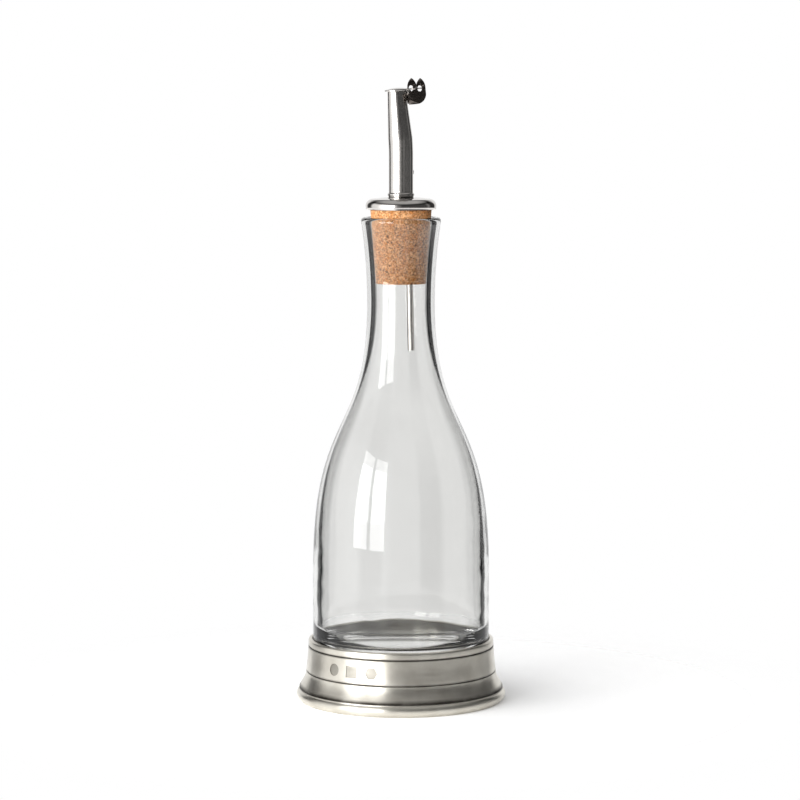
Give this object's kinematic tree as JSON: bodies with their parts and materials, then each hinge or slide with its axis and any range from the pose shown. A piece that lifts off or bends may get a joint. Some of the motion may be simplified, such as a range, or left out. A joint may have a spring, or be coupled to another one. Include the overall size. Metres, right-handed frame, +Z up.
{
  "type": "glass oil bottle",
  "caption": "Clear thick-walled glass oil bottle in a turned pewter foot, closed by a tapered cork with a bent steel pourer, an air tube and a hinged flap.",
  "frame": {"origin": "on the bottle's axis, at the underside of the foot", "axes": "+Z up along the bottle's axis; the spout leans and pours towards -X; the flap's hinge pin lies along Y"},
  "size_m": [0.0882, 0.0882, 0.2614],
  "materials": {
    "clear_glass": "clear, fire-polished, slightly rippled",
    "pewter": "satin turned pewter, dark in the grooves",
    "cement": "clear set adhesive",
    "cork": "fine agglomerated cork",
    "tube_steel": "drawn stainless steel",
    "polished_steel": "polished stainless steel",
    "dark_steel": "polished stainless steel sheet"
  },
  "bodies": {
    "bottle": {"glass_bottle": "clear_glass", "glass_neck": "clear_glass", "pewter_foot": "pewter", "cement_bed": "cement"},
    "stopper": {"cork": "cork", "cork_sleeve": "tube_steel", "cap_disc": "polished_steel", "spout_tube": "tube_steel", "spout_bead": "tube_steel", "air_tube": "tube_steel", "air_nipple": "tube_steel", "left_lug": "polished_steel", "right_lug": "polished_steel", "hinge_pin": "polished_steel"},
    "flap": {"flap_lid": "polished_steel", "counterweight": "dark_steel"}
  },
  "joints": [
    {"name": "stopper_lift", "type": "slide", "parent": "bottle", "child": "stopper", "axis": [0, 0, 1], "range_m": [0, 0.08]},
    {"name": "flap_hinge", "type": "hinge", "parent": "stopper", "child": "flap", "pos_m": [0.00308, 0, 0.25546], "axis": [0, 1, 0], "range_deg": [0, 55]}
  ]
}
